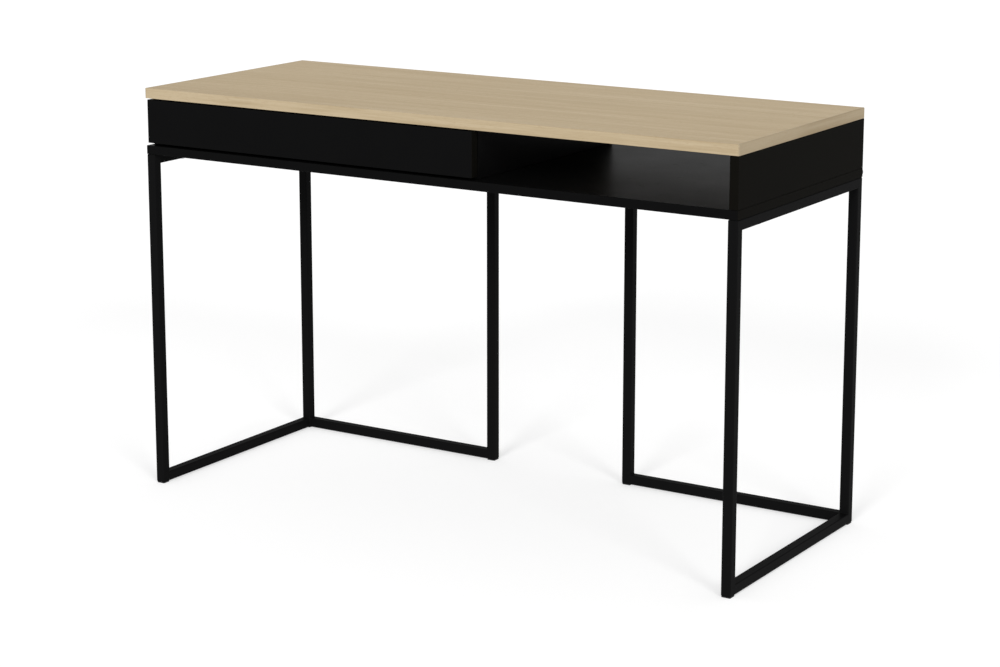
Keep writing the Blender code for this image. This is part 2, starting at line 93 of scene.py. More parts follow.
class DeskFinishes(bpy.types.PropertyGroup):
    """Colours and gloss of the desk's materials."""

    oak_light: colour_property("Light oak", "Early wood between the grain lines", (0.540, 0.434, 0.283))
    oak_dark: colour_property("Dark oak", "Late wood in the grain lines", (0.432, 0.331, 0.197))
    oak_pore: colour_property("Oak pores", "Open pores, seen as short dashes", (0.30, 0.215, 0.125))
    oak_gloss: share_property("Oak roughness", "Roughness of the clear lacquer on the oak", 0.5)
    board_black: colour_property("Black lacquer", "Lacquer on the cabinet's boards", (0.0031, 0.0031, 0.0032))
    # The matt lacquer is a lighter, warmer, less glossy copy of the black lacquer for the faces towards the
    # ends: painted light on the ends
    side_black_painted_light: colour_property("Matt lacquer", "Lacquer on the cabinet's ends", (0.0042, 0.0039, 0.0031))
    board_gloss: share_property("Lacquer roughness", "Roughness of the black lacquer", 0.37)
    side_gloss: share_property("Matt roughness", "Roughness of the matt lacquer", 0.46)
    box_black: colour_property("Drawer box", "Foil on the drawer box's boards", (0.015, 0.015, 0.016))
    box_gloss: share_property("Foil roughness", "Roughness of the foil on the drawer box", 0.55)
    steel_black: colour_property("Powder coat", "Powder coat on the steel tube", (0.0042, 0.0042, 0.0043))
    steel_gloss: share_property("Powder coat roughness", "Roughness of the powder coat", 0.42)
    zinc: colour_property("Zinc", "Zinc plating on the runners", (0.50, 0.51, 0.53))
    zinc_gloss: share_property("Zinc roughness", "Roughness of the runners' plating", 0.30)
    screw_zinc: colour_property("Screw zinc", "Zinc plating on the screws", (0.55, 0.56, 0.57))
    screw_gloss: share_property("Screw roughness", "Roughness of the screws' plating", 0.34)
    ball_steel: colour_property("Ball steel", "Hardened steel of the runners' balls", (0.68, 0.68, 0.69))
    ball_gloss: share_property("Ball roughness", "Roughness of the balls", 0.14)
    plastic_black: colour_property("Plastic", "Moulded glides", (0.012, 0.012, 0.012))
    rubber_black: colour_property("Rubber", "Wall bumpers", (0.016, 0.016, 0.016))


class DeskSizes(bpy.types.PropertyGroup):
    """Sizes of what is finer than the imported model."""

    lipping: length_property("Lipping", "Thickness of the oak strips on the top's edges", 0.002)
    top_edge: length_property("Top edge radius", "Rounding of the top's edges", 0.0009)
    board_edge: length_property("Board edge radius", "Rounding of the lacquered boards", 0.0006)
    lipping_joint: length_property("Lipping joint", "Rounding of the glue joint's edges", 0.00006)
    tube_corner: length_property("Tube corner radius", "Rounding of the square tube", 0.0019)
    leaf: length_property("Veneer leaf", "Width of one leaf of veneer", 0.165)
    ball: length_property("Ball diameter", "Balls of the telescopic runners", 0.0032)
    ball_pitch: length_property("Ball pitch", "From one ball in a cage to the next", 0.0125)
    cage_end: length_property("Cage end", "Clear length at each end of a row of balls", 0.004)
    thread_pitch: length_property("Thread pitch", "Pitch of the screws' threads", 0.0016)


class DeskStudio(bpy.types.PropertyGroup):
    """The stage that the desk stands on."""

    floor: colour_property("Floor", "Plain pale floor", (0.62, 0.62, 0.62))
    glow: strength_property("Floor glow", "Light of the floor itself, as of a light table", 0.465)
    surround: strength_property("Surround", "Light from all round", 0.63)
    key: strength_property("Key light", "Strength of the low light in front", 1.55)
    fill: strength_property("Fill light", "Strength of the low light at the front right", 1.16)


# ----------------------------------------------------------------- node graphs


class Wire:
    """A node's output. Sums and products of wires add Math nodes."""

    def __init__(self, graph, socket):
        self.graph = graph
        self.socket = socket

    def maths(self, operation, *values):
        return self.graph.add("ShaderNodeMath", {"operation": operation}, dict(enumerate(values)))

    def __add__(self, other):
        return self.maths("ADD", self, other)

    def __sub__(self, other):
        return self.maths("SUBTRACT", self, other)

    def __mul__(self, other):
        return self.maths("MULTIPLY", self, other)

    def __truediv__(self, other):
        return self.maths("DIVIDE", self, other)

    def __pow__(self, other):
        return self.maths("POWER", self, other)

    def __rsub__(self, other):
        return self.maths("SUBTRACT", other, self)

    __radd__ = __add__

    def sine(self):
        return self.maths("SINE", self)

    def whole(self):
        return self.maths("FLOOR", self)

    def rises(self, start, end):
        """0 below start, 1 above end and a smooth step between."""
        return self.graph.add(
            "ShaderNodeMapRange",
            {"interpolation_type": "SMOOTHSTEP", "clamp": True},
            {"Value": self, "From Min": start, "From Max": end},
        )


class Graph:
    """A node tree, written as expressions."""

    def __init__(self, tree):
        self.tree = tree
        tree.nodes.clear()

    def add(self, kind, settings=None, inputs=None, output=0):
        """Adds a node: its settings first, then the values or wires of its sockets."""
        node = self.tree.nodes.new(kind)
        for name, value in (settings or {}).items():
            setattr(node, name, value)
        for key, value in (inputs or {}).items():
            for one in value if isinstance(value, list) else [value]:
                if isinstance(one, Wire):
                    self.tree.links.new(one.socket, node.inputs[key])
                else:
                    node.inputs[key].default_value = one
        return Wire(self, node.outputs[output]) if len(node.outputs) else node

    def mix(self, share, low, high, kind="MIX"):
        """A colour between two colours."""
        settings = {"data_type": "RGBA", "blend_type": kind, "clamp_factor": True}
        colours = [c if isinstance(c, Wire) else (*c, 1) for c in (low, high)]
        return self.add("ShaderNodeMix", settings, {0: share, 6: colours[0], 7: colours[1]}, 2)


class Finish(Graph):
    """A procedural material on object coordinates."""

    def __init__(self, name):
        self.material = bpy.data.materials.new(name)
        self.material.use_nodes = True
        super().__init__(self.material.node_tree)

    def place(self, stretch=(1, 1, 1), turn=(0, 0, 0), shift=(0, 0, 0)):
        """Object coordinates, moved and turned and then stretched."""
        where = self.add("ShaderNodeTexCoord", output="Object")
        point = {"vector_type": "POINT"}
        moves = {"Vector": where, "Rotation": turn, "Location": shift}
        turned = self.add("ShaderNodeMapping", point, moves)
        return self.add("ShaderNodeMapping", point, {"Vector": turned, "Scale": stretch})

    def noise(self, where, scale, detail=2.0, roughness=0.5, distortion=0.0):
        sizes = {"Scale": scale, "Detail": detail, "Roughness": roughness, "Distortion": distortion}
        return self.add("ShaderNodeTexNoise", {"noise_dimensions": "3D"}, {"Vector": where, **sizes})

    def axis(self, where, letter):
        return self.add("ShaderNodeSeparateXYZ", inputs={0: where}, output=AXES[letter])

    def relief(self, height, depth, strength):
        """A bump of the height's full range over that depth."""
        sizes = {"Height": height, "Distance": depth, "Strength": strength}
        return self.add("ShaderNodeBump", inputs=sizes)

    def voronoi(self, where, scale):
        """The distance to the nearest of many scattered points."""
        return self.add("ShaderNodeTexVoronoi", {"feature": "F1"}, {"Vector": where, "Scale": scale})

    def shades(self, share, colour, low, high):
        """Between a darker and a lighter shade of one colour."""
        return self.mix(share, [c * low for c in colour], [min(1, c * high) for c in colour])

    def surface(self, **inputs):
        """The shader: names with underscores are its sockets."""
        sockets = {name.replace("_", " "): value for name, value in inputs.items()}
        shader = self.add("ShaderNodeBsdfPrincipled", inputs=sockets)
        self.add("ShaderNodeOutputMaterial", inputs={"Surface": shader})
        return self.material


# ------------------------------------------------------------------- finishes


OAK_LAYERS = {
    # how fine along and across the grain, noise detail, noise roughness, distortion, place
    "slow": (1.2, 9, 3.0, 0.55, 0.0, (0, 0, 0)),
    "bands": (1.7, 30, 3.0, 0.55, 0.3, (0.2, 0.5, 0.3)),
    "streaks": (2.6, 85, 4.0, 0.6, 0.35, (0, 0, 0)),
    "fibres": (14, 620, 3.0, 0.6, 0.0, (0, 0, 0)),
    "pores": (95, 1500, 2.0, 0.5, 0.0, (0.3, 0.1, 0.2)),
    "flecks": (210, 380, 1.0, 0.4, 0.0, (0.7, 0.4, 0.1)),
}
GRAIN_SHARES = {"bands": 1.35, "streaks": 1.45, "fibres": 0.90, "slow": 0.5}
RING_SHARE = 0.12
RINGS_ACROSS_LEAF = 14.0
RINGS_IN_SOLID = 3.0
RING_ARCH = 0.02  # rounds the rings over the middle of a leaf
RING_WANDER = 3.6
RING_RIPPLE = 0.5
LEAF_TINT = (0.97, 0.955, 0.93)
OAK_SHEEN = 0.10


def oak(name, turn=(0, 0, 0), leaves=False, contrast=1.0, depth=1.0):
    """Lacquered oak with its grain along X before the turn.

    A veneered face is made of leaves side by side, and each leaf has a tone of its own.
    """
    look, sizes = bpy.context.scene.desk_finishes, bpy.context.scene.desk_sizes
    wood = Finish(name)
    layers = {}
    for layer, (fine_along, fine_across, detail, roughness, distortion, shift) in OAK_LAYERS.items():
        where = wood.place((fine_along, fine_across, fine_across), turn, shift)
        layers[layer] = wood.noise(where, 1.0, detail, roughness, distortion) - 0.5
    across = wood.axis(wood.place(turn=turn), "Y") / sizes.leaf
    leaf = across.whole()
    middle = across - leaf - 0.5
    arched = (middle * middle + RING_ARCH) ** 0.5
    rise = arched * RINGS_ACROSS_LEAF if leaves else across * RINGS_IN_SOLID
    phase = rise + layers["slow"] * RING_WANDER + layers["streaks"] * RING_RIPPLE
    grain = (phase * (2 * math.pi)).sine() * RING_SHARE
    for layer, share in GRAIN_SHARES.items():
        grain = grain + layers[layer] * share
    # depth darkens the whole colour: on the lipping this is painted shade, deeper on the strips at the ends
    # than on those at the front and back
    light, dark = ([c * depth for c in colour] for colour in (look.oak_light, look.oak_dark))
    body = wood.mix(0.5 + grain * contrast, dark, light)
    if leaves:
        tone = wood.add("ShaderNodeTexWhiteNoise", {"noise_dimensions": "1D"}, {"W": leaf + 4.0})
        body = wood.mix(tone * 0.5, body, wood.mix(1.0, body, LEAF_TINT, "MULTIPLY"))
    body = wood.mix(layers["flecks"].rises(0.10, 0.24) * 0.30, body, light)
    pore = layers["pores"].rises(0.085, 0.16) * layers["streaks"].rises(-0.14, 0.12)
    body = wood.mix(pore * 0.5, body, look.oak_pore)
    return wood.surface(
        Base_Color=body,
        Roughness=look.oak_gloss + layers["fibres"] * 0.12 + pore * 0.14,
        Normal=wood.relief(layers["fibres"] - pore * 0.9, depth=0.00009, strength=0.55),
        Specular_IOR_Level=OAK_SHEEN,
    )


def lacquer(name, colour, roughness, sheen, peel=0.000016):
    """Sprayed lacquer: a faint orange peel, a slow cloud in the gloss, dust nibs and rubbed streaks."""
    coat = Finish(name)
    where = coat.place()
    cloud = coat.noise(where, scale=7.0, detail=3.0, roughness=0.55) - 0.5
    skin = coat.noise(where, scale=420.0)
    nib = 1 - coat.voronoi(where, scale=38.0).rises(0.010, 0.022)
    scuffs = coat.noise(coat.place(stretch=(60, 60, 900)), scale=1.0).rises(0.66, 0.80)
    shade = coat.shades(cloud * 1.4 + 0.5, colour, 0.86, 1.14)
    dust = [c * 2.2 + 0.004 for c in colour]
    return coat.surface(
        Base_Color=coat.mix(nib * 0.25 + scuffs * 0.06, shade, dust),
        Roughness=roughness + cloud * 0.10 + (skin - 0.5) * 0.06 + scuffs * 0.05,
        Normal=coat.relief(skin + nib * 0.8, depth=peel, strength=0.6),
        Specular_IOR_Level=sheen,
    )


def powder(name, colour, roughness, sheen):
    """Baked powder coat: a pebbled skin with finer speckle on it."""
    coat = Finish(name)
    where = coat.place()
    pebbles = coat.noise(where, scale=1100.0, roughness=0.55)
    cloud = coat.noise(where, scale=5.0) - 0.5
    height = pebbles + coat.voronoi(where, scale=1900.0) * 0.35
    dark, light = [c * 0.80 for c in colour], [c * 1.30 + 0.0006 for c in colour]
    return coat.surface(
        Base_Color=coat.mix(height * 0.7, dark, light),
        Roughness=roughness + (pebbles - 0.5) * 0.16 + cloud * 0.06,
        Normal=coat.relief(height, depth=0.00003, strength=0.5),
        Specular_IOR_Level=sheen,
    )


def plated(name, colour, streak, roughness):
    """Zinc on rolled steel: drawn lines along the strip, spangle and a faint passivated tint."""
    metal = Finish(name)
    lines = metal.noise(metal.place(stretch=streak), scale=1.0, detail=3.0, roughness=0.6)
    spangle = metal.noise(metal.place(), scale=160.0)
    tint = metal.noise(metal.place(), scale=24.0)
    body = metal.shades((lines - 0.5) * 1.6 + 0.5, colour, 0.80, 1.14)
    warm = metal.mix(1.0, body, (1.0, 0.97, 0.90), "MULTIPLY")
    return metal.surface(
        Base_Color=metal.mix(tint.rises(0.45, 0.70) * 0.6, body, warm),
        Metallic=1.0,
        Roughness=roughness + (lines - 0.5) * 0.30 + (spangle - 0.5) * 0.16,
        Normal=metal.relief(lines + spangle * 0.3, depth=0.000006, strength=0.5),
    )


def moulded(name, colour, roughness, fineness, depth):
    """Moulded plastic or rubber: a fine spark-eroded grain and a slow cloud."""
    part = Finish(name)
    skin = part.noise(part.place(), scale=fineness, detail=3.0, roughness=0.6)
    cloud = part.noise(part.place(), scale=30.0)
    return part.surface(
        Base_Color=part.shades(skin * 0.6 + cloud * 0.4, colour, 0.75, 1.35),
        Roughness=roughness + (skin - 0.5) * 0.14,
        Normal=part.relief(skin, depth, strength=0.7),
        Specular_IOR_Level=0.35,
    )


def pale_floor(name):
    """A plain floor that glows a little, so that the shadows on it stay faint."""
    studio = bpy.context.scene.desk_studio
    floor = Finish(name)
    cloud = floor.noise(floor.place(), scale=1.2)
    return floor.surface(
        Base_Color=floor.shades(cloud, studio.floor, 0.99, 1.0),
        Roughness=0.9 + (cloud - 0.5) * 0.05,
        Specular_IOR_Level=0.0,
        Emission_Color=floor.shades(cloud, (1, 1, 1), 0.997, 1.0),
        Emission_Strength=studio.glow,
    )


QUARTER_TURN = (0, 0, math.pi / 2)
FINISHES = {
    "oak_veneer": lambda name, look: oak(name, leaves=True),
    # The lipping's copies of the oak are darkened by depth: painted shade, deeper on the short strips at the
    # ends
    "oak_long_lipping": lambda name, look: oak(name, contrast=1.8, depth=0.735),
    "oak_short_lipping": lambda name, look: oak(name, QUARTER_TURN, contrast=1.5, depth=0.62),
    "black_lacquer": lambda name, look: lacquer(name, look.board_black, look.board_gloss, sheen=0.016),
    # lighter and warmer than the black lacquer: painted light on the faces towards the ends and on the side
    # panels
    "matt_lacquer": lambda name, look: lacquer(name, look.side_black_painted_light, look.side_gloss, sheen=0.005),
    "black_foil": lambda name, look: lacquer(
        name, look.box_black, look.box_gloss, sheen=0.30, peel=0.00003
    ),
    "powder_coat": lambda name, look: powder(name, look.steel_black, look.steel_gloss, sheen=0.008),
    "rolled_zinc": lambda name, look: plated(name, look.zinc, (900, 9, 900), look.zinc_gloss),
    "screw_zinc": lambda name, look: plated(name, look.screw_zinc, (500, 500, 500), look.screw_gloss),
    "ball_steel": lambda name, look: plated(name, look.ball_steel, (260, 260, 260), look.ball_gloss),
    "moulded_plastic": lambda name, look: moulded(
        name, look.plastic_black, roughness=0.5, fineness=1500.0, depth=0.00003
    ),
    "moulded_rubber": lambda name, look: moulded(
        name, look.rubber_black, roughness=0.72, fineness=900.0, depth=0.00005
    ),
    "pale_floor": lambda name, look: pale_floor(name),
}


def finish(name):
    """The material of that name, made when it is first asked for."""
    made = bpy.data.materials.get(name)
    return made or FINISHES[name](name, bpy.context.scene.desk_finishes)


# --------------------------------------------------------------- making pieces


def new_object(name, mesh, *finishes):
    piece = bpy.data.objects.new(name, mesh)
    bpy.context.scene.collection.objects.link(piece)
    for one in finishes:
        piece.data.materials.append(finish(one))
    return piece


def shown_by(piece, body, nodes):
    """Hands a finished piece to its body, in place of the plain solids that it stands for."""
    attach(piece, body)
    if nodes:
        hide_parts(*nodes)
    return piece


def applied(piece):
    """The piece as a plain mesh, with its modifiers gone."""
    view = piece.evaluated_get(bpy.context.evaluated_depsgraph_get())
    mesh = bpy.data.meshes.new_from_object(view)
    piece.modifiers.clear()
    old, piece.data = piece.data, mesh
    mesh.name = piece.name
    bpy.data.meshes.remove(old)
    return piece


def smooth_edges(piece, angle=math.radians(40)):
    """Smooth rounded edges beside flat faces that stay flat."""
    piece.data.shade_smooth()
    piece.data.set_sharp_from_angle(angle=angle)
    even = piece.modifiers.new("even", "WEIGHTED_NORMAL")
    even.keep_sharp = True
    even.weight = 100
    return applied(piece)


def soft_box(shape, low, high, radius, segments=3, whole=None):
    """Adds a box to a mesh in the making and rounds its edges.

    Where the box is one strip of a whole, given as its two corners, only the edges that are edges of
    the whole are rounded, so that the joints between the strips stay flush.
    """
    low, high = Vector(low), Vector(high)
    verts = bmesh.ops.create_cube(shape, size=1.0)["verts"]
    bmesh.ops.scale(shape, vec=high - low, verts=verts)
    bmesh.ops.translate(shape, vec=(high + low) / 2, verts=verts)
    edges = {edge for vert in verts for edge in vert.link_edges}
    if whole:
        planes = [(axis, corner[axis]) for corner in whole for axis in range(3)]
        edges = {
            edge
            for edge in edges
            if sum(all(abs(v.co[axis] - at) < 1e-6 for v in edge.verts) for axis, at in planes) == 2
        }
    rounded(shape, list(edges), radius, segments)


def rounded(shape, edges, radius, segments):
    bmesh.ops.bevel(
        shape,
        geom=edges,
        offset=radius,
        segments=segments,
        profile=0.5,
        affect="EDGES",
        clamp_overlap=True,
    )


def mesh_from(shape, name):
    mesh = bpy.data.meshes.new(name)
    shape.to_mesh(mesh)
    shape.free()
    return mesh


def bore(piece, holes):
    """Cuts round holes upwards: each is the place it starts from, a radius and a depth."""
    drills = bmesh.new()
    for start, radius, depth in holes:
        made = bmesh.ops.create_cone(
            drills, cap_ends=True, segments=32, radius1=radius, radius2=radius, depth=depth
        )["verts"]
        bmesh.ops.translate(drills, vec=start + Z * depth / 2, verts=made)
    tool = new_object(piece.name + "_drills", mesh_from(drills, "drills"))
    cut = piece.modifiers.new("holes", "BOOLEAN")
    cut.operation, cut.solver, cut.object = "DIFFERENCE", "EXACT", tool
    applied(piece)
    bpy.data.objects.remove(tool)


# ------------------------------------------------------------------- worktop

FACES = {"left": (0, 0), "right": (0, 1), "front": (1, 0), "back": (1, 1)}


def lipped(low, high, sides, thickness):
    """A board's core and the strips glued round it, each strip as long as the board is by then."""
    core, strips = [low.copy(), high.copy()], {}
    for side in sides:
        axis, end = FACES[side]
        strip = [core[0].copy(), core[1].copy()]
        joint = core[end][axis] + (thickness if end == 0 else -thickness)
        strip[1 - end][axis] = core[end][axis] = joint
        strips[side] = strip
    return core, strips


class DESK_OT_worktop(bpy.types.Operator):
    """Makes the oak-veneered top and the solid oak lipping on its four edges"""

    bl_idname = "desk.make_worktop"
    bl_label = "Worktop"

    def execute(self, context):
        sizes, whole = context.scene.desk_sizes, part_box("desk_top")
        core, strips = lipped(*whole, ("left", "right", "front", "back"), sizes.lipping)
        shape = bmesh.new()
        soft_box(shape, *core, sizes.lipping_joint, 1)
        board = new_object("veneered_top", mesh_from(shape, "veneered_top"), "oak_veneer")
        shown_by(smooth_edges(board), "desk", ["desk_top"])
        for side, strip in strips.items():
            name = f"{side}_lipping"
            # the end strips take the oak with the deeper painted shade, the front and back strips the lighter
            # one
            grain = "oak_short_lipping" if side in SIDES else "oak_long_lipping"
            shape = bmesh.new()
            soft_box(shape, *strip, sizes.top_edge, whole=whole)
            piece = new_object(name, mesh_from(shape, name), grain)
            shown_by(smooth_edges(piece), "desk", [])
        return {"FINISHED"}


# ------------------------------------------------------------------- cabinet

SCREW_CLEARANCE = 0.0003
DIVIDER_HEAD = 0.0026  # height of the divider screws' heads
DIVIDER_THREAD = 0.0024  # radius over their threads
DRILL_START = 0.002  # how far under the cabinet's floor a drill starts
DRILL_DEPTH = 0.03


def divider_holes():
    """Pockets and clearance holes for the screws that come up into the divider."""
    holes = []
    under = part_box("bottom_panel")[0].z - DRILL_START
    for end in ENDS:
        low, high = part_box(f"divider_{end}_screw")
        middle, head_radius = (low + high) / 2, (high.x - low.x) / 2
        start = Vector((middle.x, middle.y, under))
        holes.append((start, head_radius + SCREW_CLEARANCE, low.z + DIVIDER_HEAD - under))
        holes.append((start, DIVIDER_THREAD + SCREW_CLEARANCE, DRILL_DEPTH))
    return holes


# The matt coat is a lighter, warmer copy of the black lacquer: painted light on the end faces and on the side
# panels
BOARDS = {  # the node, its body, and the coats of its faces and of those to left and right
    "cabinet_floor": ("bottom_panel", "desk", "black_lacquer", "matt_lacquer"),
    "left_cabinet_side": ("left_side_panel", "desk", "matt_lacquer", "matt_lacquer"),
    "right_cabinet_side": ("right_side_panel", "desk", "matt_lacquer", "matt_lacquer"),
    "niche_divider": ("divider_panel", "desk", "black_lacquer", "black_lacquer"),
    "drawer_bay_back": ("drawer_bay_back_panel", "desk", "black_lacquer", "black_lacquer"),
    "drawer_face": ("drawer_front", "drawer", "black_lacquer", "matt_lacquer"),
}


class DESK_OT_cabinet(bpy.types.Operator):
    """Makes the cabinet's lacquered boards and the drawer's face, with eased edges and screw holes"""

    bl_idname = "desk.make_cabinet"
    bl_label = "Cabinet boards"

    def execute(self, context):
        radius = context.scene.desk_sizes.board_edge
        for name, (node, body, coat, painted_light_end_coat) in BOARDS.items():
            shape = bmesh.new()
            soft_box(shape, *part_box(node), radius)
            shape.normal_update()
            # faces towards the ends take the lighter end coat: painted light
            for face in shape.faces:
                face.material_index = int(abs(face.normal.x) > 0.5)
            piece = new_object(name, mesh_from(shape, name), coat, painted_light_end_coat)
            if node == "bottom_panel":
                bore(piece, divider_holes())
            shown_by(smooth_edges(piece), body, [node])
        return {"FINISHED"}


# --------------------------------------------------------------- steel frames

FRAME_TUBES = (
    "front_leg",
    "rear_leg",
    "inner_leg",
    "side_floor_rail",
    "rear_floor_rail",
    "side_top_rail",
    "rear_top_rail",
)
CELL_FACES = {
    (-1, 0, 0): ((0, 0, 0), (0, 0, 1), (0, 1, 1), (0, 1, 0)),
    (1, 0, 0): ((1, 0, 0), (1, 1, 0), (1, 1, 1), (1, 0, 1)),
    (0, -1, 0): ((0, 0, 0), (1, 0, 0), (1, 0, 1), (0, 0, 1)),
    (0, 1, 0): ((0, 1, 0), (0, 1, 1), (1, 1, 1), (1, 1, 0)),
    (0, 0, -1): ((0, 0, 0), (0, 1, 0), (1, 1, 0), (1, 0, 0)),
    (0, 0, 1): ((0, 0, 1), (1, 0, 1), (1, 1, 1), (0, 1, 1)),
}


def frame_grid(side):
    """The planes of a frame's tubes, and the cells between them that hold steel."""
    leg, rear, inner = (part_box(f"{side}_{name}") for name in ("front_leg", "rear_leg", "inner_leg"))
    low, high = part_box(f"{side}_side_floor_rail"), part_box(f"{side}_side_top_rail")
    planes = (
        sorted((leg[0].x, leg[1].x, inner[0].x, inner[1].x)),
        (leg[0].y, leg[1].y, rear[0].y, rear[1].y),
        (low[0].z, low[1].z, high[0].z, high[1].z),
    )
    outer, inward = (0, 2) if leg[0].x < inner[0].x else (2, 0)
    cells = {(outer, y, z) for y in (0, 2) for z in range(3)}
    cells |= {(inward, 2, z) for z in range(3)}
    cells |= {(outer, 1, z) for z in (0, 2)} | {(1, 2, z) for z in (0, 2)}
    return planes, cells


def welded_frame(name, planes, cells, radius):
    """One skin over all the tubes, so that a rounded weld runs in each inner corner."""
    shape = bmesh.new()
    corners = {}

    def corner(place):
        if place not in corners:
            corners[place] = shape.verts.new([planes[axis][i] for axis, i in enumerate(place)])
        return corners[place]

    for cell in sorted(cells):
        for step, quad in CELL_FACES.items():
            if tuple(a + b for a, b in zip(cell, step)) in cells:
                continue
            shape.faces.new([corner(tuple(a + b for a, b in zip(cell, offset))) for offset in quad])
    bmesh.ops.dissolve_limit(shape, angle_limit=math.radians(1), verts=shape.verts, edges=shape.edges)
    sharp = [edge for edge in shape.edges if edge.calc_face_angle(0) > math.radians(30)]
    rounded(shape, sharp, radius, segments=4)
    return mesh_from(shape, name)


class DESK_OT_frames(bpy.types.Operator):
    """Makes the two welded frames of square steel tube"""

    bl_idname = "desk.make_frames"
    bl_label = "Steel frames"

    def execute(self, context):
        for side in SIDES:
            name = f"{side}_welded_frame"
            mesh = welded_frame(name, *frame_grid(side), context.scene.desk_sizes.tube_corner)
            piece = smooth_edges(new_object(name, mesh, "powder_coat"))
            shown_by(piece, "desk", [f"{side}_{tube}" for tube in FRAME_TUBES])
        return {"FINISHED"}


# ------------------------------------------------------- carried-over solids

CARRIED = {
    "black_foil": (
        "drawer_board",
        ["drawer_left_side", "drawer_right_side", "drawer_inner_front", "drawer_back", "drawer_base"],
    ),
    "rolled_zinc": (
        "zinc_runner",
        [f"{side}_{part}_runner" for side in SIDES for part in ("cabinet", "intermediate", "drawer")],
    ),
    "moulded_plastic": (
        "black_plastic",
        [f"{side}_{leg}_glide" for side in SIDES for leg in ("front", "rear", "inner")],
    ),
    "moulded_rubber": ("black_rubber", [f"{side}_rear_bumper" for side in SIDES]),
}


class DESK_OT_carried(bpy.types.Operator):
    """Finishes the drawer box, runners, glides and bumpers, whose modelled shape is right as it is"""

    bl_idname = "desk.finish_carried_parts"
    bl_label = "Drawer box, runners and feet"

    def execute(self, context):
        for name, (slot, nodes) in CARRIED.items():
            for node in nodes:
                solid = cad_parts[node]
                solid.data.materials.clear()
                solid.data.materials.append(finish(name))
        return {"FINISHED"}


# -------------------------------------------------------- screws, by a node tree


class Shape(Graph):
    """A geometry node tree with named inputs, which are wires here under the same names."""

    def __init__(self, name, inputs):
        super().__init__(bpy.data.node_groups.new(name, "GeometryNodeTree"))
        interface = self.tree.interface
        for way in ("INPUT", "OUTPUT"):
            interface.new_socket("Geometry", in_out=way, socket_type="NodeSocketGeometry")
        for label, (kind, value) in inputs.items():
            socket = interface.new_socket(label, in_out="INPUT", socket_type=kind)
            if value is not None:
                socket.default_value = value
        given = self.add("NodeGroupInput").socket.node
        self.given = {socket.name: Wire(self, socket) for socket in given.outputs if socket.name}

    def vector(self, x=0.0, y=0.0, z=0.0):
        return self.add("ShaderNodeCombineXYZ", inputs={"X": x, "Y": y, "Z": z})

    def moved(self, geometry, **place):
        """The geometry, moved by x, y and z."""
        moves = {"Geometry": geometry, "Translation": self.vector(**place)}
        return self.add("GeometryNodeTransform", inputs=moves)

    def cylinder(self, sides, radius, height, middle):
        """A closed cylinder about Z, with its middle at that height."""
        sizes = {"Vertices": sides, "Radius": radius, "Depth": height}
        solid = self.add("GeometryNodeMeshCylinder", {"fill_type": "NGON"}, sizes)
        return self.moved(solid, z=middle)

    def boolean(self, operation, **meshes):
        """Joins, cuts or keeps what is common. Only a cut has a whole that the others are taken from."""
        inputs = {"Mesh 2": meshes["others"]}
        if "whole" in meshes:
            inputs["Mesh 1"] = meshes["whole"]
        settings = {"operation": operation, "solver": "EXACT"}
        return self.add("GeometryNodeMeshBoolean", settings, inputs)

    def on_points(self, points, shape, **settings):
        inputs = {"Points": points, "Instance": shape, **settings}
        return self.add("GeometryNodeInstanceOnPoints", inputs=inputs)

    def done(self, geometry, material):
        """Ends the tree: the copies are made real and take their material."""
        real = self.add("GeometryNodeRealizeInstances", inputs={"Geometry": geometry})
        coated = self.add("GeometryNodeSetMaterial", inputs={"Geometry": real, "Material": material})
        self.add("NodeGroupOutput", inputs={"Geometry": coated})
        return self.tree


LENGTH = "NodeSocketFloat"
COUNT = "NodeSocketInt"
SCREW_INPUTS = {
    "Head Radius": (LENGTH, 0.0046),
    "Head Height": (LENGTH, 0.0028),
    "Core Radius": (LENGTH, 0.0019),
    "Thread Height": (LENGTH, 0.0004),
    "Thread Pitch": (LENGTH, 0.0016),
    "Length": (LENGTH, 0.029),
    "Tip Length": (LENGTH, 0.003),
    "Recess Sides": (COUNT, 6),
    "Recess Radius": (LENGTH, 0.0019),
    "Recess Depth": (LENGTH, 0.0016),
    "Seed": (COUNT, 7),
    "Material": ("NodeSocketMaterial", None),
}
HEAD_SIDES = 32
SHANK_SIDES = 20
THREAD_STEPS = 14  # for each turn
HEAD_CROWN = 1.9  # radius of the head's dome, in head radii
HEAD_OVERLAP = 0.0002  # by which the shank runs into the head
TIP_OVERLAP = 0.0001  # by which the cone at the tip runs into the shank
TIP_BLUNTNESS = 0.12  # radius of the tip's end, in core radii
THREAD_START = 0.6  # clear shank under the head, in tip lengths


def screw_head(tree):
    """A domed head with a hexagonal or square recess."""
    given = tree.given
    rim, height = given["Head Radius"], given["Head Height"]
    crown = rim * HEAD_CROWN
    sizes = {"Segments": HEAD_SIDES, "Rings": HEAD_SIDES, "Radius": crown}
    dome = tree.moved(tree.add("GeometryNodeMeshUVSphere", inputs=sizes), z=crown - height)
    slab = tree.cylinder(HEAD_SIDES, rim, height, height * -0.5)
    depth = given["Recess Depth"] * 2.0
    recess = tree.cylinder(given["Recess Sides"], given["Recess Radius"], depth, height * -1.0)
    head = tree.boolean("INTERSECT", others=[slab, dome])
    return tree.boolean("DIFFERENCE", whole=head, others=recess)


def screw_shank(tree):
    """The plain core and the cone at its end."""
    given = tree.given
    core, tip = given["Core Radius"], given["Tip Length"]
    straight = given["Length"] - tip
    middle = (straight - HEAD_OVERLAP) * 0.5
    shank = tree.cylinder(SHANK_SIDES, core, straight + HEAD_OVERLAP, middle)
    sizes = {
        "Vertices": SHANK_SIDES,
        "Radius Top": core * TIP_BLUNTNESS,
        "Radius Bottom": core,
        "Depth": tip + TIP_OVERLAP,
    }
    cone = tree.add("GeometryNodeMeshCone", {"fill_type": "NGON"}, sizes)
    return shank, tree.moved(cone, z=straight - TIP_OVERLAP)


